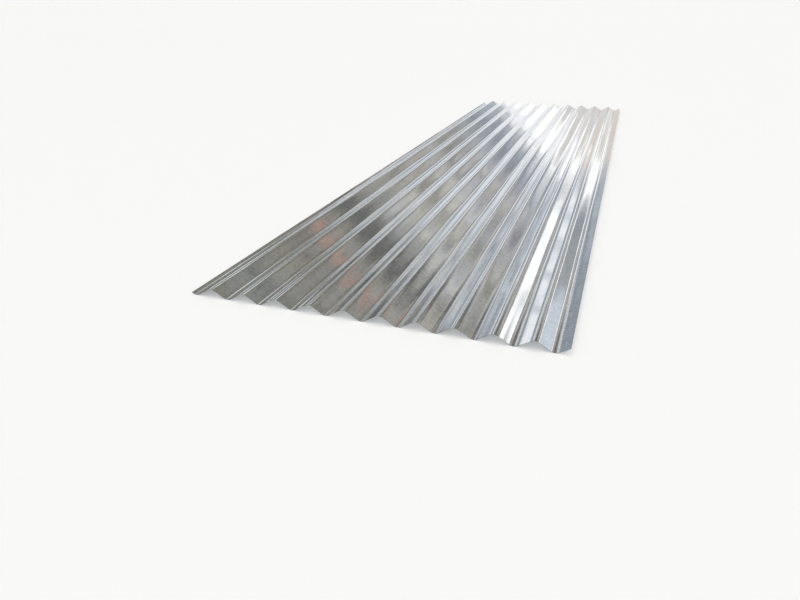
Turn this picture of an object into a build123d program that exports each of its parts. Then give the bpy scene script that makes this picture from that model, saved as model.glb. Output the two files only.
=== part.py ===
from build123d import *
from math import asin, atan2, degrees, hypot, tan
import os

# A corrugated roofing sheet, roll formed from one flat strip of galvanised steel and cut square.
# It lies flat: the waves run along Y, the width is along X, and the troughs rest on Z = 0.
# All lengths are in millimetres.

# Driving dimensions
sheet_length = 3050.0
pitch = 76.2               # from crest to crest
corrugation_depth = 18.0   # from crest to trough, on the middle of the steel
bend_radius = 12.0         # of every bend, on the middle of the steel
sheet_thickness = 0.5
crest_count = 10
left_lip = 11.0            # from the outer left trough to the left edge
right_lip = 27.0           # from the outer right trough to the right edge

# The wave is straight flanks joined by round bends. The flanks lean at the one angle at which
# two bends and the flank between them come to half a pitch across and to the depth down.
half_pitch = pitch / 2
bend_overlap = 2 * bend_radius - corrugation_depth
flank_angle = asin(2 * bend_radius / hypot(half_pitch, bend_overlap)) - atan2(bend_overlap, half_pitch)

# Two flanks would meet in a sharp corner. It lies this far above or below the middle of the wave.
corner_height = half_pitch / 2 * tan(flank_angle)
wave_middle = (corrugation_depth + sheet_thickness) / 2
low_corner = wave_middle - corner_height
high_corner = wave_middle + corner_height

# The corners follow each other from the outer left trough to the outer right trough. The strip
# starts and ends part way up a flank, so it runs past its outer troughs by the two lips.
overall_width = left_lip + crest_count * pitch + right_lip
first_trough = left_lip - overall_width / 2
last_trough = overall_width / 2 - right_lip

corners = []
for trough in range(crest_count):
    trough_place = first_trough + trough * pitch
    corners.append((trough_place, low_corner))
    corners.append((trough_place + half_pitch, high_corner))
corners.append((last_trough, low_corner))

left_edge = (first_trough - left_lip, low_corner + left_lip * tan(flank_angle))
right_edge = (last_trough + right_lip, low_corner + right_lip * tan(flank_angle))

with BuildPart() as corrugated_sheet:
    with BuildSketch(Plane.XZ) as section:
        with BuildLine() as strip:
            middle = FilletPolyline(left_edge, *corners, right_edge, radius=bend_radius)
        trace(middle, line_width=sheet_thickness)
    extrude(amount=sheet_length / 2, both=True)

corrugated_sheet.part.label = "corrugated_sheet"

os.makedirs("parts", exist_ok=True)
export_step(corrugated_sheet.part, "parts/corrugated_sheet.step")

print(f"flanks lean {degrees(flank_angle):.2f} degrees, overall width {overall_width:.1f} mm")
print(f"width of the flat strip before rolling {middle.length:.1f} mm")
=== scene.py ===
# %% [markdown]
# # A corrugated galvanised steel sheet
# A roofing sheet starts as a flat strip of steel with a bright zinc coating. Rollers fold it into
# waves, and a shear cuts it square. This lesson bends the strip as the rollers do, gives it a
# zinc finish made of nodes, and lights it in a small studio with a pale floor.

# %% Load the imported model
from math import asin, atan2, cos, degrees, hypot, pi, radians, sin, tan

import bpy
from mathutils import Matrix


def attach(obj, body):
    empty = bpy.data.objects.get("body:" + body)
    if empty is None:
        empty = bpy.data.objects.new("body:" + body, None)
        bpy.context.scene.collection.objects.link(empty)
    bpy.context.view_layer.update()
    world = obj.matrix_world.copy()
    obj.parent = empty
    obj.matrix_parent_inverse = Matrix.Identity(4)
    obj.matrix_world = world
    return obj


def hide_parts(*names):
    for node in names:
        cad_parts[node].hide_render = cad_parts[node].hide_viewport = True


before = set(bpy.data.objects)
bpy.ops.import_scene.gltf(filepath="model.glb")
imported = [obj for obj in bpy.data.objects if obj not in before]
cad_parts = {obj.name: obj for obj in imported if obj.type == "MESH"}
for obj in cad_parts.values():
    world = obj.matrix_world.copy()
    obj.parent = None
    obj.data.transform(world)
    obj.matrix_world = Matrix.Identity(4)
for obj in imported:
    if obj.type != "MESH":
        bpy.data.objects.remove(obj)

bpy.ops.object.select_all(action="DESELECT")
SCENE = bpy.context.scene
MM = 0.001

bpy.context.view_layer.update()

# %% [markdown]
# ## The camera
# The photograph looks down the length of the sheet from its front end, a little from the right.
# The viewpoint follows from the sheet itself: waves of one size shrink with distance, and the
# long folds run to one vanishing point. The lens is given for a sensor 36 mm wide.

# %% Place the camera
CAMERA_PLACE = (430.4 * MM, -2603.6 * MM, 585.3 * MM)
CAMERA_TURN = radians(18.31)
CAMERA_DOWN = radians(24.81)
CAMERA_ROLL = radians(0.64)
LENS_MM = 29.39
SENSOR_MM = 36.0
SEEN_FROM = 10 * MM
SEEN_TO = 1000

camera_data = bpy.data.cameras.new("camera")
camera_data.lens = LENS_MM
camera_data.sensor_width = SENSOR_MM
camera_data.clip_start = SEEN_FROM
camera_data.clip_end = SEEN_TO
camera = bpy.data.objects.new("camera", camera_data)
SCENE.collection.objects.link(camera)
camera.matrix_world = (
    Matrix.Translation(CAMERA_PLACE)
    @ Matrix.Rotation(CAMERA_TURN, 4, "Z")
    @ Matrix.Rotation(pi / 2 - CAMERA_DOWN, 4, "X")
    @ Matrix.Rotation(CAMERA_ROLL, 4, "Z")
)
SCENE.camera = camera
SCENE.view_settings.view_transform = "Standard"
print("the camera stands", round(camera.location.z / MM), "mm above the floor")

# %% [markdown]
# ## Sizes of the wave
# Each wave is two straight flanks and two round bends. A roll-formed bend is tight in its middle
# and eases into the flanks through two wide shoulders, which give the soft light beside every
# fold. The pitch, the depth, both radii and the angle of the tight part settle how steeply the
# flanks lean, so that angle is worked out once. All are measured on the middle of the steel.

# %% Work out the wave
SHEET_LENGTH = 3050 * MM
PITCH = 76.2 * MM
WAVE_DEPTH = 18 * MM
BEND_RADIUS = 12 * MM
BEND_ANGLE = radians(22)
SHOULDER_RADIUS = 40 * MM
THICKNESS = 0.5 * MM
CRESTS = 10
LEFT_LIP = 11 * MM
RIGHT_LIP = 27 * MM

half_pitch = PITCH / 2
radius_gap = SHOULDER_RADIUS - BEND_RADIUS
shoulder_shift = radius_gap * sin(BEND_ANGLE)
shoulder_lift = radius_gap * cos(BEND_ANGLE)
centre_run = half_pitch + 2 * shoulder_shift
centre_rise = 2 * (BEND_RADIUS + shoulder_lift) - WAVE_DEPTH
centre_lean = atan2(centre_rise, centre_run)
flank_angle = asin(2 * SHOULDER_RADIUS / hypot(centre_run, centre_rise)) - centre_lean
bend_reach = SHOULDER_RADIUS * sin(flank_angle) - shoulder_shift
bend_rise = BEND_RADIUS + shoulder_lift - SHOULDER_RADIUS * cos(flank_angle)
flank_run = half_pitch - 2 * bend_reach

half_width = (LEFT_LIP + CRESTS * PITCH + RIGHT_LIP) / 2
first_trough = LEFT_LIP - half_width
trough_height = THICKNESS / 2
crest_height = trough_height + WAVE_DEPTH
print("the flanks lean", round(degrees(flank_angle), 2), "degrees")

# %% [markdown]
# ## Bending the strip
# A plane becomes the left lip. The strip then grows to the right from its edge, as it comes off
# the rolls: spin makes a bend round the middle of its radius, and extrude makes the flank after
# it. Folding sharp corners and rounding them with a bevel is quicker, but spin keeps each bend a
# true arc, and a shiny sheet shows the difference.

# %% Start with the left lip
BEND_STEPS = 12
SHOULDER_STEPS = 3
FLANK_STEPS = 2
LIP_STEPS = 2
SELECT_REACH = 0.01 * MM

left_lip_run = LEFT_LIP - bend_reach
right_lip_run = RIGHT_LIP - bend_reach
lip_foot = trough_height + bend_rise

bpy.ops.mesh.primitive_plane_add(size=1, location=(left_lip_run / 2 - half_width, 0, lip_foot))
sheet = bpy.context.object
sheet.name = "zinc_coated_sheet"
sheet.data.name = "zinc_coated_sheet"
bpy.ops.transform.resize(value=(left_lip_run, SHEET_LENGTH, 1))
bpy.ops.object.transform_apply(location=True, rotation=True, scale=True)
for corner in sheet.data.vertices:
    if corner.co.x < SELECT_REACH - half_width:
        corner.co.z += left_lip_run * tan(flank_angle)
print("the left lip is", round(left_lip_run / MM, 1), "mm wide beside its bend")


# %% Grow the strip by bends and flanks
def select_right_edge():
    """Selects the long edge that lies furthest to the right, and nothing else."""
    bpy.ops.mesh.select_all(action="DESELECT")
    bpy.ops.object.mode_set(mode="OBJECT")
    mesh = sheet.data
    right = max(vertex.co.x for vertex in mesh.vertices)
    for vertex in mesh.vertices:
        vertex.select = vertex.co.x > right - SELECT_REACH
    for edge in mesh.edges:
        edge.select = all(mesh.vertices[index].select for index in edge.vertices)
    bpy.ops.object.mode_set(mode="EDIT")


def add_arc(place, height, turn, steps):
    """Spins the right edge about one point of the section."""
    select_right_edge()
    bpy.ops.mesh.spin(steps=steps, angle=turn, center=(place, 0, height), axis=(0, 1, 0))


def add_bend(place, up):
    """Adds a shoulder, a tight bend and a shoulder. A trough turns the strip up, a crest down."""
    side = 1 if up else -1
    centre = (trough_height if up else crest_height) + side * BEND_RADIUS
    ease_in = side * (flank_angle - BEND_ANGLE)
    add_arc(place + shoulder_shift, centre + side * shoulder_lift, ease_in, SHOULDER_STEPS)
    add_arc(place, centre, side * 2 * BEND_ANGLE, BEND_STEPS)
    add_arc(place - shoulder_shift, centre + side * shoulder_lift, ease_in, SHOULDER_STEPS)


def add_flank(run, steps, up):
    """Extrudes the right edge along a straight flank, in equal steps."""
    rise = run * tan(flank_angle) if up else -run * tan(flank_angle)
    for _ in range(steps):
        select_right_edge()
        bpy.ops.mesh.extrude_region_move(TRANSFORM_OT_translate={"value": (run / steps, 0, rise / steps)})


bpy.context.tool_settings.mesh_select_mode = (False, True, False)
bpy.ops.object.mode_set(mode="EDIT")
for crest in range(CRESTS):
    trough_place = first_trough + crest * PITCH
    add_bend(trough_place, up=True)
    add_flank(flank_run, FLANK_STEPS, up=True)
    add_bend(trough_place + half_pitch, up=False)
    add_flank(flank_run, FLANK_STEPS, up=False)
add_bend(first_trough + CRESTS * PITCH, up=True)
add_flank(right_lip_run, LIP_STEPS, up=True)

bpy.ops.mesh.select_all(action="SELECT")
bpy.ops.mesh.remove_doubles(threshold=SELECT_REACH)
bpy.ops.mesh.normals_make_consistent(inside=False)
bpy.ops.object.mode_set(mode="OBJECT")
print("the section has", len(sheet.data.polygons), "strips")


# %% [markdown]
# ## Where the sheet may be untrue
# Thin steel never leaves the rolls dead straight. Its folds wander sideways by a fraction of a
# millimetre, its flanks bulge a little, and its free lips ripple. A mirror-like surface makes
# these faults plain, so they are real shape here and not a bump in the material. Vertex groups
# say where each fault may act: bulges act halfway up a flank, folds stay in place at the outer
# edges, and ripples act on the lips alone, so the sheet keeps its size. The groups are set now,
# while the strip has few points, and the cuts that follow carry them along.

# %% Set the vertex groups
def halfway(share):
    """1 halfway between two ends and 0 at both, where the share is 0 or 1."""
    return 4 * share * (1 - share)


flank_group = sheet.vertex_groups.new(name="flanks")
fold_group = sheet.vertex_groups.new(name="folds")
lip_group = sheet.vertex_groups.new(name="lips")
for vertex in sheet.data.vertices:
    up_the_wave = min(max((vertex.co.z - trough_height) / WAVE_DEPTH, 0), 1)
    from_edge = half_width - abs(vertex.co.x)
    lip = LEFT_LIP if vertex.co.x < 0 else RIGHT_LIP
    flank_group.add([vertex.index], halfway(up_the_wave), "REPLACE")
    fold_group.add([vertex.index], min(from_edge / PITCH, 1), "REPLACE")
    lip_group.add([vertex.index], max(1 - from_edge / lip, 0), "REPLACE")
print(len(sheet.vertex_groups), "groups on", len(sheet.data.vertices), "points")

# %% [markdown]
# ## Cutting the strips into short rows
# The strips are as long as the sheet, so they can't bend lengthwise yet. With only the long edges
# selected, subdivide cuts every strip straight across, and all the rows line up. One call makes
# at most 100 cuts, and it also cuts the short edges of any face that is still selected. So faces
# are deselected first, and the rows are cut in two rounds.

# %% Cut the rows
FIRST_ROWS = 12
ROWS_IN_EACH = 9
LONG_EDGE = 100 * MM


def cut_rows(rows):
    """Cuts every edge that runs along the waves into this many equal pieces."""
    bpy.ops.object.mode_set(mode="EDIT")
    bpy.ops.mesh.select_all(action="DESELECT")
    bpy.ops.object.mode_set(mode="OBJECT")
    for edge in sheet.data.edges:
        first, second = (sheet.data.vertices[index].co for index in edge.vertices)
        edge.select = abs(first.y - second.y) > LONG_EDGE
    bpy.ops.object.mode_set(mode="EDIT")
    bpy.ops.mesh.subdivide(number_cuts=rows - 1)
    bpy.ops.object.mode_set(mode="OBJECT")


cut_rows(FIRST_ROWS)
cut_rows(ROWS_IN_EACH)
row_length = SHEET_LENGTH / (FIRST_ROWS * ROWS_IN_EACH)
print(len(sheet.data.polygons), "faces in rows of", round(row_length / MM, 1), "mm")


# %% [markdown]
# ## Adding the faults
# A Displace modifier moves points by a soft noise. The noise is stretched by reading it in the
# space of an empty, a ruler, whose scale is the size of one patch across and along the waves.

# %% Push the surface about
def push(name, direction, group, strength, across, along):
    """Moves the points of a group by soft noise, by up to about a third of the strength."""
    ruler = bpy.data.objects.new(name + "_ruler", None)
    SCENE.collection.objects.link(ruler)
    ruler.scale = (across, along, across)
    bpy.context.view_layer.update()
    noise = bpy.data.textures.new(name, "CLOUDS")
    noise.noise_scale = 1.0
    noise.noise_depth = 1
    fault = sheet.modifiers.new(name, "DISPLACE")
    fault.texture = noise
    fault.texture_coords = "OBJECT"
    fault.texture_coords_object = ruler
    fault.direction = direction
    fault.vertex_group = group
    fault.strength = strength
    bpy.context.view_layer.objects.active = sheet
    bpy.ops.object.modifier_apply(modifier=name)
    bpy.data.objects.remove(ruler)
    bpy.data.textures.remove(noise)


push("wandering_folds", "X", "folds", strength=2.4 * MM, across=70 * MM, along=900 * MM)
push("bulging_flanks", "NORMAL", "flanks", strength=0.9 * MM, across=90 * MM, along=350 * MM)
push("rippled_lips", "Z", "lips", strength=1.6 * MM, across=200 * MM, along=240 * MM)
print("faults added, highest point", round(max(v.co.z for v in sheet.data.vertices) / MM, 2), "mm")

# %% [markdown]
# ## Thickness
# The surface so far is the middle of the steel. Solidify gives it its half millimetre, evenly to
# both sides, and puts the sheared rim in a second material slot. The bends are shaded smooth, and
# the rim stays sharp.

# %% Give the steel its thickness
SMOOTH_UP_TO = radians(40)

bpy.ops.object.select_all(action="DESELECT")
sheet.select_set(True)
bpy.context.view_layer.objects.active = sheet
zinc = bpy.data.materials.new("zinc")
cut_steel = bpy.data.materials.new("cut_steel")
sheet.data.materials.append(zinc)
sheet.data.materials.append(cut_steel)
steel = sheet.modifiers.new("steel", "SOLIDIFY")
steel.thickness = THICKNESS
steel.offset = 0
steel.use_even_offset = True
steel.use_quality_normals = True
steel.material_offset_rim = 1
bpy.ops.object.modifier_apply(modifier="steel")
bpy.ops.object.shade_smooth_by_angle(angle=SMOOTH_UP_TO)
sheet.data.calc_loop_triangles()
print("the sheet has", len(sheet.data.loop_triangles), "triangles")


# %% [markdown]
# ## Helpers for node trees
# A material is a list of nodes and links. These helpers add a node with its settings, feed its
# sockets with numbers or with other nodes' outputs, and do one step of arithmetic.

# %% Define the helpers
def add_node(tree, kind, sockets=None, **settings):
    """Adds a node, sets its settings by name, and feeds its sockets by name or number."""
    new = tree.nodes.new(kind)
    for name, value in settings.items():
        setattr(new, name, value)
    for name, value in (sockets or {}).items():
        feed(tree, new.inputs[name], value)
    return new


def feed(tree, socket, value):
    """Gives a socket a fixed value, or links it to another node's output."""
    if isinstance(value, bpy.types.NodeSocket):
        tree.links.new(value, socket)
    else:
        socket.default_value = value


def sum_of(tree, operation, *values):
    """One Math node, such as ADD or MULTIPLY_ADD, on numbers or outputs."""
    return add_node(tree, "ShaderNodeMath", dict(enumerate(values)), operation=operation).outputs[0]


def blend(tree, share, first, second, kind="MIX"):
    """Mixes two colours by a share, and gives the result."""
    mix = add_node(tree, "ShaderNodeMix", data_type="RGBA", blend_type=kind)
    feed(tree, mix.inputs[0], share)
    feed(tree, mix.inputs[6], first)
    feed(tree, mix.inputs[7], second)
    return mix.outputs[2]


def ease(tree, value, low, high, start=0.0, end=1.0):
    """Goes softly from start to end while the value goes from low to high."""
    sockets = {"Value": value, "From Min": low, "From Max": high, "To Min": start, "To Max": end}
    return add_node(tree, "ShaderNodeMapRange", sockets, interpolation_type="SMOOTHSTEP").outputs[0]


def noise(tree, place, scale, detail=2.0, roughness=0.5):
    """Soft noise, between 0 and 1, with its own stretch along each axis."""
    stretched = add_node(tree, "ShaderNodeMapping", {"Vector": place, "Scale": scale}).outputs[0]
    sockets = {"Vector": stretched, "Scale": 1.0, "Detail": detail, "Roughness": roughness}
    return add_node(tree, "ShaderNodeTexNoise", sockets).outputs[0]


# %% [markdown]
# ## Marks that run one way
# Rolls draw faint lines down the sheet, and the shear drags short ones down its cut edge. Clouds
# and scuffs come from handling. All of them are soft noise, stretched to the size of the mark and
# drawn apart from the bare ground, so one node group makes them. Both materials use it.

# %% Build the group of marks
MARK_DETAIL = 3.0


def build_marks():
    """A node group that gives 1 on a mark and 0 on bare ground, softly between."""
    group = bpy.data.node_groups.new("marks", "ShaderNodeTree")
    for name in ("Place", "Size"):
        group.interface.new_socket(name, in_out="INPUT", socket_type="NodeSocketVector")
    for name in ("Bare Below", "Marked Above"):
        group.interface.new_socket(name, in_out="INPUT", socket_type="NodeSocketFloat")
    group.interface.new_socket("Mark", in_out="OUTPUT", socket_type="NodeSocketFloat")
    given = add_node(group, "NodeGroupInput").outputs
    in_marks = {0: given["Place"], 1: given["Size"]}
    stretched = add_node(group, "ShaderNodeVectorMath", in_marks, operation="DIVIDE").outputs[0]
    soft = noise(group, stretched, (1, 1, 1), MARK_DETAIL)
    mark = ease(group, soft, given["Bare Below"], given["Marked Above"])
    add_node(group, "NodeGroupOutput", {"Mark": mark})
    return group


marks_group = build_marks()


def marks(tree, place, size, bare, marked):
    """Adds the group to a material and gives its mask."""
    sockets = {"Place": place, "Size": size, "Bare Below": bare, "Marked Above": marked}
    return add_node(tree, "ShaderNodeGroup", sockets, node_tree=marks_group).outputs["Mark"]


def new_tree(material):
    """Empties the node tree of a material, and gives it with the place on the object."""
    material.use_nodes = True
    material.node_tree.nodes.clear()
    return material.node_tree, add_node(material.node_tree, "ShaderNodeTexCoord").outputs["Object"]


print("the group of marks has", len(marks_group.nodes), "nodes")

# %% [markdown]
# ## Zinc
# Hot zinc freezes on the steel in crystals a few millimetres wide, called spangle. Each crystal
# reflects a little more or less than its neighbours and leans its own way, so a Voronoi texture
# gives every cell its own shade, gloss and tilt. The rolls draw faint lines along the sheet, and
# handling leaves cloudy marks and scuffs. Nothing of this changes the colour much: bright metal is
# mostly what it reflects, so gloss and normals matter most.

# %% Choose the crystals and the marks
SPANGLE_SIZE = 6 * MM
SPANGLE_TILT = 0.002
MIDDLE_OF_RANGE = (0.5, 0.5, 0.5)
DULL_CRYSTAL = (0.645, 0.655, 0.665, 1)
BRIGHT_CRYSTAL = (0.775, 0.785, 0.795, 1)
CLOUDED_ZINC = (0.92, 0.93, 0.94, 1)

ROLL_LINE = (1.6 * MM, 500 * MM, 1.6 * MM)
ROLL_LINE_EDGE = (0.25, 0.75)
ROLL_LINE_DEPTH = 0.1 * MM
ROLL_LINE_STRENGTH = 0.012
CLOUD = (120 * MM, 160 * MM, 120 * MM)
CLOUD_EDGE = (0.35, 0.70)
SCUFF = (5 * MM, 70 * MM, 5 * MM)
SCUFF_EDGE = (0.66, 0.76)

BEST_ROUGHNESS = 0.025
CRYSTAL_ROUGHNESS = 0.025
ROLL_LINE_ROUGHNESS = 0.02
CLOUD_ROUGHNESS = 0.04
SCUFF_ROUGHNESS = 0.09
roughest = BEST_ROUGHNESS + CRYSTAL_ROUGHNESS + ROLL_LINE_ROUGHNESS + CLOUD_ROUGHNESS + SCUFF_ROUGHNESS
print("the zinc's roughness goes from", BEST_ROUGHNESS, "to", round(roughest, 3))


# %% Make the zinc
def make_zinc(material):
    """Bright spangled zinc with roll lines, clouds and scuffs."""
    tree, place = new_tree(material)
    cells = add_node(tree, "ShaderNodeTexVoronoi", {"Vector": place, "Scale": 1 / SPANGLE_SIZE})
    crystal = cells.outputs["Color"]
    shade = add_node(tree, "ShaderNodeSeparateColor", {0: crystal}).outputs[0]
    upright = add_node(tree, "ShaderNodeNewGeometry").outputs["Normal"]
    to_middle = {0: crystal, 1: MIDDLE_OF_RANGE}
    centred = add_node(tree, "ShaderNodeVectorMath", to_middle, operation="SUBTRACT").outputs[0]
    to_tilt = {0: centred, 1: (SPANGLE_TILT, SPANGLE_TILT, SPANGLE_TILT), 2: upright}
    leaning = add_node(tree, "ShaderNodeVectorMath", to_tilt, operation="MULTIPLY_ADD").outputs[0]
    facet = add_node(tree, "ShaderNodeVectorMath", {0: leaning}, operation="NORMALIZE").outputs[0]

    lines = marks(tree, place, ROLL_LINE, *ROLL_LINE_EDGE)
    clouds = marks(tree, place, CLOUD, *CLOUD_EDGE)
    scuffs = marks(tree, place, SCUFF, *SCUFF_EDGE)
    roughness = sum_of(tree, "MULTIPLY_ADD", shade, CRYSTAL_ROUGHNESS, BEST_ROUGHNESS)
    roughness = sum_of(tree, "MULTIPLY_ADD", lines, ROLL_LINE_ROUGHNESS, roughness)
    roughness = sum_of(tree, "MULTIPLY_ADD", clouds, CLOUD_ROUGHNESS, roughness)
    roughness = sum_of(tree, "MULTIPLY_ADD", scuffs, SCUFF_ROUGHNESS, roughness)

    colour = blend(tree, shade, DULL_CRYSTAL, BRIGHT_CRYSTAL)
    colour = blend(tree, clouds, colour, CLOUDED_ZINC, "MULTIPLY")
    groove = {"Strength": ROLL_LINE_STRENGTH, "Distance": ROLL_LINE_DEPTH, "Height": lines, "Normal": facet}
    lined = add_node(tree, "ShaderNodeBump", groove).outputs[0]
    finish = {"Base Color": colour, "Metallic": 1.0, "Roughness": roughness, "Normal": lined}
    shader = add_node(tree, "ShaderNodeBsdfPrincipled", finish)
    add_node(tree, "ShaderNodeOutputMaterial", {"Surface": shader.outputs[0]})


make_zinc(zinc)
print("the zinc has", len(zinc.node_tree.nodes), "nodes")

# %% [markdown]
# ## The cut edge
# The shear leaves bare steel on the rim. Half a millimetre is thin, but from the front the rim
# draws the wave as a dark line. The blade drags short marks down through the steel, so the marks
# are long in height and narrow the other ways, and bare steel between them is darker and duller.

# %% Make the cut steel
SHEAR_MARK = (0.3 * MM, 0.3 * MM, 4 * MM)
SHEAR_EDGE = (0.35, 0.65)
SHEAR_DEPTH = 0.05 * MM
SHEAR_STRENGTH = 0.3
DARK_STEEL = (0.09, 0.095, 0.10, 1)
DRAGGED_STEEL = (0.24, 0.245, 0.25, 1)
DARK_ROUGHNESS = 0.5
DRAGGED_ROUGHNESS = 0.32


def make_cut_steel(material):
    """Dark bare steel with the marks of the shear."""
    tree, place = new_tree(material)
    drag = marks(tree, place, SHEAR_MARK, *SHEAR_EDGE)
    colour = blend(tree, drag, DARK_STEEL, DRAGGED_STEEL)
    roughness = ease(tree, drag, 0.0, 1.0, DARK_ROUGHNESS, DRAGGED_ROUGHNESS)
    relief = {"Strength": SHEAR_STRENGTH, "Distance": SHEAR_DEPTH, "Height": drag}
    dragged = add_node(tree, "ShaderNodeBump", relief).outputs[0]
    finish = {"Base Color": colour, "Metallic": 1.0, "Roughness": roughness, "Normal": dragged}
    shader = add_node(tree, "ShaderNodeBsdfPrincipled", finish)
    add_node(tree, "ShaderNodeOutputMaterial", {"Surface": shader.outputs[0]})


make_cut_steel(cut_steel)
print("the cut steel has", len(cut_steel.node_tree.nodes), "nodes")


# %% [markdown]
# ## What the camera and the metal may see
# Floor and backdrop turn white only where the camera sees them, straight on or mirrored in metal.
# A Light Path node knows this of every ray, so the white is seen but lights nothing. Brighter
# light would whiten the floor too, but it would burn out the zinc.

# %% Tell the rays apart
def rays_in_sight(tree):
    """Gives 1 on rays straight from the camera, and 1 on rays that come by metal or glass."""
    path = add_node(tree, "ShaderNodeLightPath").outputs
    in_metal = sum_of(tree, "ADD", path["Is Glossy Ray"], path["Is Transmission Ray"])
    return path["Is Camera Ray"], in_metal


# %% [markdown]
# ## The floor
# A plain white floor, far wider than the sheet, so that its edge lies on the horizon. It is rough
# and without gloss, and it takes the soft shadow of the sheet. A faint glow, seen only straight
# on or in the metal, lifts it to the white of the backdrop and lights nothing. It lies a third of
# a millimetre lower than the sheet, so the two surfaces never flicker through each other.

# %% Lay the floor
FLOOR_WIDTH = 600
FLOOR_DROP = 0.3 * MM
FLOOR_WHITE = (0.96, 0.96, 0.96, 1)
FLOOR_ROUGHNESS = 0.9
FLOOR_GLOSS = 0.1
FLOOR_GLOW = 0.20

bpy.ops.mesh.primitive_plane_add(size=FLOOR_WIDTH, location=(0, 0, -FLOOR_DROP))
floor = bpy.context.object
floor.name = "floor"
floor_paint = bpy.data.materials.new("floor_paint")
floor_paint.use_nodes = True
paint = floor_paint.node_tree
painted = paint.nodes["Principled BSDF"].inputs
painted["Base Color"].default_value = FLOOR_WHITE
painted["Roughness"].default_value = FLOOR_ROUGHNESS
painted["Specular IOR Level"].default_value = FLOOR_GLOSS
painted["Emission Color"].default_value = FLOOR_WHITE
in_sight = sum_of(paint, "ADD", *rays_in_sight(paint))
feed(paint, painted["Emission Strength"], sum_of(paint, "MULTIPLY", in_sight, FLOOR_GLOW))
floor.data.materials.append(floor_paint)
print("the floor is", FLOOR_WIDTH, "m wide")

# %% [markdown]
# ## The studio
# Bright zinc is nearly a mirror, so it shows the room round it more than itself. Lamps would give
# hard glints and nothing between them. So the world draws a room instead. Every direction has a
# bearing, in degrees to the right of the sheet's length, and a height, in degrees above the
# horizon, and both are worked out once, from the direction itself.

# %% Turn directions into bearings and heights
world = bpy.data.worlds.new("studio")
SCENE.world = world
world.use_nodes = True
tree = world.node_tree
tree.nodes.clear()
direction = add_node(tree, "ShaderNodeTexCoord").outputs["Generated"]
split = add_node(tree, "ShaderNodeSeparateXYZ", {0: direction}).outputs
height = sum_of(tree, "DEGREES", sum_of(tree, "ARCSINE", split[2]))
bearing = sum_of(tree, "DEGREES", sum_of(tree, "ARCTAN2", split[0], split[1]))
print("every direction has a bearing and a height, from", len(tree.nodes), "nodes")

# %% [markdown]
# ## Walls and ceiling
# From the floor up, the room is grey, then darker, and its ceiling is bright, with a dim gap and a
# dark middle. A flank that leans leads the eye to the walls, and a fold shows the ceiling as a thin
# bright line. A colour ramp holds all the grades in one node, each at its height in degrees.

# %% Grade the room from floor to ceiling
ROOM = [
    (0, (0.50, 0.52, 0.55)),
    (9, (0.52, 0.55, 0.59)),
    (13, (0.51, 0.55, 0.61)),
    (16, (0.45, 0.455, 0.46)),
    (21, (0.43, 0.42, 0.39)),
    (27, (0.40, 0.39, 0.35)),
    (33, (0.30, 0.29, 0.26)),
    (38, (0.265, 0.265, 0.235)),
    (46, (0.30, 0.30, 0.27)),
    (50, (1.15, 1.15, 1.15)),
    (60, (1.28, 1.28, 1.28)),
    (62, (0.90, 0.90, 0.90)),
    (65, (1.28, 1.28, 1.28)),
    (74, (1.28, 1.28, 1.28)),
    (80, (0.85, 0.85, 0.85)),
    (85, (0.50, 0.50, 0.50)),
    (90, (0.42, 0.42, 0.42)),
]
RIGHT_ANGLE = 90

ramp = add_node(tree, "ShaderNodeValToRGB", {0: sum_of(tree, "DIVIDE", height, RIGHT_ANGLE)})
stops = ramp.color_ramp.elements
while len(stops) < len(ROOM):
    stops.new(1.0)
for stop, (level, _) in zip(stops, ROOM):
    stop.position = level / RIGHT_ANGLE
for stop, (_, colour) in zip(stops, ROOM):
    stop.color = (*colour, 1)
room = ramp.outputs[0]
print("the room has", len(ROOM), "grades")


# %% [markdown]
# ## Patches on the walls
# One grade all the way round would give every flank the same stripe. So soft-edged patches are
# painted over it, each between two bearings and two heights, and later ones cover earlier ones.
# Real boards stood round the sheet would do the same, but they would also shade the floor.

# %% Paint the walls
def window(value, low, high, edge):
    """1 between low and high, falling softly to 0 outside."""
    rise = ease(tree, value, low - edge, low + edge)
    fall = ease(tree, value, high - edge, high + edge, 1.0, 0.0)
    return sum_of(tree, "MULTIPLY", rise, fall)


def panel(bearings, heights, edges, colour, slope=0.0):
    """Paints a soft patch on the room. The slope tilts it, in degrees of height for each degree."""
    middle = sum(bearings) / 2
    off = sum_of(tree, "WRAP", sum_of(tree, "SUBTRACT", bearing, middle), 180.0, -180.0)
    level = sum_of(tree, "MULTIPLY_ADD", off, -slope, height)
    across = window(off, bearings[0] - middle, bearings[1] - middle, edges[0])
    share = sum_of(tree, "MULTIPLY", across, window(level, *heights, edges[1]))
    return blend(tree, share, room, (*colour, 1))


# the dark far left, a pale bay beside it, and the low wall under both
room = panel((-46, -26), (10, 40), (3, 3), (0.32, 0.33, 0.30))
room = panel((-24, -13), (13, 25), (3, 2), (0.72, 0.76, 0.81))
room = panel((-13, -9.2), (13, 25), (1.5, 2), (0.66, 0.70, 0.75))
room = panel((-40, -18), (-20, 9), (3, 1.5), (0.56, 0.60, 0.64))
room = panel((-21, -11.8), (-20, 12.6), (2, 1.2), (0.54, 0.58, 0.63))
# straight ahead and to the right
room = panel((-3, 4.4), (13.2, 17), (1.0, 1.0), (0.41, 0.435, 0.46))
room = panel((5.5, 17), (14.5, 25), (2, 1.5), (0.53, 0.53, 0.52))
room = panel((13, 20), (4, 15.5), (1.0, 0.8), (0.38, 0.41, 0.44))
print("walls painted,", len(tree.nodes), "nodes so far")

# %% [markdown]
# ## Mottled walls
# A real wall is never one even grey: things stand before it and light falls on it unevenly. Two
# soft noises, one of light and one of tint, break it up. They are read from the direction itself
# and stretched sideways, and they start only above the lowest part of the wall, whose patches are
# small and sharp already.

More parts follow.
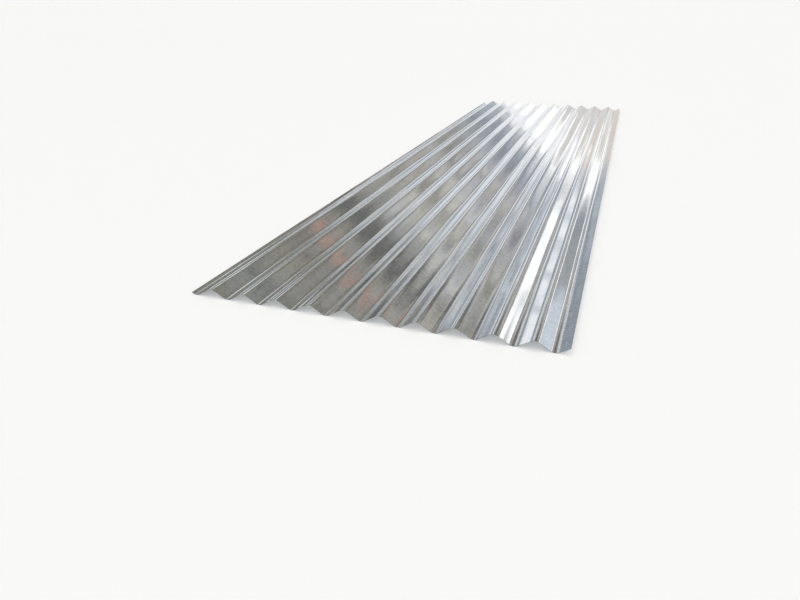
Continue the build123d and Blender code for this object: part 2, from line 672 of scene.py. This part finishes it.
# %% Mottle them
PATCH_FINENESS = (12, 12, 38)
PATCH_DETAIL = 4.0
PATCH_ROUGHNESS = 0.6
PATCH_SPREAD = (0.34, 0.64)
PATCH_LIGHT = (0.66, 1.30)
TINT_FINENESS = (7, 9, 17)
TINT_DETAIL = 1.0
TINT_SPREAD = (0.35, 0.65)
WARM_TINT = (1.03, 1.0, 0.92, 1)
COLD_TINT = (0.97, 0.98, 1.03, 1)
MOTTLED_FROM = 10
MOTTLED_FULLY = 14

patches = noise(tree, direction, PATCH_FINENESS, PATCH_DETAIL, PATCH_ROUGHNESS)
tints = noise(tree, direction, TINT_FINENESS, TINT_DETAIL)
patch_light = ease(tree, patches, *PATCH_SPREAD, *PATCH_LIGHT)
patch_tint = blend(tree, ease(tree, tints, *TINT_SPREAD), WARM_TINT, COLD_TINT)
tinted = blend(tree, 1.0, room, patch_tint, "MULTIPLY")
mottled = add_node(tree, "ShaderNodeVectorMath", {0: tinted, "Scale": patch_light}, operation="SCALE")
room = blend(tree, ease(tree, height, MOTTLED_FROM, MOTTLED_FULLY), room, mottled.outputs[0])
print("walls mottled above", MOTTLED_FROM, "degrees")

# %% [markdown]
# ## Windows and beams
# The windows give the white streaks that make metal look bright, and the dark beams between them
# give it contrast. They come after the mottling, so that they stay clean. The far end of the sheet
# mirrors what is low and the near end what is high, so a low window lights the far end only.

# %% Hang the windows and the beams
BAR_REACH = 0.4

# the tall window, the low wall across its foot, and the lights in that wall
room = panel((-10.2, -3), (-20, 23.5), (1.8, 2), (1.03, 1.065, 1.11))
room = panel((-11.5, 13), (-20, 7.4), (0.8, 1.0), (0.79, 0.765, 0.74))
room = panel((-12.6, -7), (3.0, 4.6), (0.8, 0.5), (0.80, 0.70, 0.63))
room = panel((-10.6, -5.6), (7.4, 11.8), (0.8, 0.7), (1.15, 1.15, 1.15))
room = panel((-14.2, -10.8), (-20, 3.5), (0.5, 0.4), (1.36, 1.36, 1.36))
# the sloping row at the left: dark below, barred windows, and a dark beam above them
room = panel((-34, -20.5), (-20, 5.2), (2.5, 0.4), (0.38, 0.41, 0.45), slope=-0.2)
room = panel((-34, -14), (6.2, 8.0), (1.5, 0.5), (1.10, 1.13, 1.17), slope=-0.27)
for bar in (-24.4, -21.4, -18.8, -16.6):
    room = panel((bar - BAR_REACH, bar + BAR_REACH), (4.0, 9.5), (0.35, 0.8), (0.76, 0.80, 0.85))
room = panel((-32, -12.5), (8.9, 13.0), (1.5, 0.4), (0.34, 0.38, 0.42), slope=-0.27)
# a high window at the left, for the thin lines on the near folds
room = panel((-27, -16), (30.5, 37), (1.5, 1.0), (1.10, 1.13, 1.17))
# the bright opening straight ahead, and what stands in front of it
room = panel((8, 12.8), (9, 12.4), (1, 0.6), (0.80, 0.81, 0.82))
room = panel((-1, 9.8), (8.4, 12.0), (1.5, 0.4), (1.42, 1.42, 1.42), slope=-0.18)
room = panel((5.0, 8.9), (6.9, 9.5), (0.4, 0.4), (0.77, 0.75, 0.72), slope=0.5)
room = panel((6.6, 10.2), (6.4, 7.8), (0.5, 0.3), (1.15, 1.13, 1.04), slope=0.9)
room = panel((9.4, 12.4), (7.5, 9.6), (0.4, 0.4), (1.42, 1.42, 1.42), slope=0.3)
# the pale wall at the right, with one narrow light across it
room = panel((19, 34), (4, 18.0), (1.2, 0.8), (0.77, 0.84, 0.91))
room = panel((12, 24), (16.0, 18.2), (0.5, 0.35), (1.42, 1.42, 1.42), slope=0.86)
# the dark beam under the ceiling, and a short rust-red one above it
room = panel((-16, 15), (27.0, 29.6), (4, 0.9), (0.19, 0.19, 0.18), slope=-0.12)
room = panel((0, 14), (30.2, 31.3), (1.5, 0.4), (0.50, 0.35, 0.29), slope=-0.12)
print("windows and beams hung,", len(tree.nodes), "nodes so far")

# %% [markdown]
# ## The far side
# Seen from its other end, the sheet mirrors what stood behind the camera. That wall has a dark
# band, posts and a row of high windows, evenly spread, so that the sheet looks like metal from
# there too.

# %% Build the far side of the room
POST_REACH = 3
WINDOW_REACH = 13

room = panel((60, 300), (-20, 40), (12, 6), (0.60, 0.62, 0.64))
room = panel((60, 300), (13, 19), (12, 1.5), (0.34, 0.35, 0.36))
for post in (95, 140, 185, 222, 265):
    room = panel((post - POST_REACH, post + POST_REACH), (-20, 36), (2, 3), (0.30, 0.31, 0.32))
for middle in (118, 163, 204, 244):
    room = panel((middle - WINDOW_REACH, middle + WINDOW_REACH), (23, 35), (2, 1.5), (1.25, 1.27, 1.29))
room = panel((-80, -46), (-20, 40), (3, 4), (0.30, 0.31, 0.33))
print("the far side is built,", len(tree.nodes), "nodes so far")

# %% [markdown]
# ## The backdrop
# Seen straight on, the room would show above the horizon. So the camera sees a plain white
# backdrop there, as white as the floor. In the metal the backdrop shows only in a low band just
# over the floor, and the room stands above it, because without the room the metal would be blank.

# %% Hang the backdrop
BACKDROP_WHITE = (0.94, 0.94, 0.935, 1)
BACKDROP_TOP = 0.5
BACKDROP_FADED = 2.0

straight_on, in_metal = rays_in_sight(tree)
low_down = ease(tree, height, BACKDROP_TOP, BACKDROP_FADED, 1.0, 0.0)
white_share = sum_of(tree, "MULTIPLY_ADD", in_metal, low_down, straight_on)
room = blend(tree, white_share, room, BACKDROP_WHITE)
back = add_node(tree, "ShaderNodeBackground", {"Color": room})
add_node(tree, "ShaderNodeOutputWorld", {"Surface": back.outputs[0]})
print("the world has", len(tree.nodes), "nodes")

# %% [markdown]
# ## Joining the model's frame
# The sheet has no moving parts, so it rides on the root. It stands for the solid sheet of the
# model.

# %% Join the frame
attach(sheet, "root")
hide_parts("corrugated_sheet")
print(sheet.name, "stands for the solid sheet")
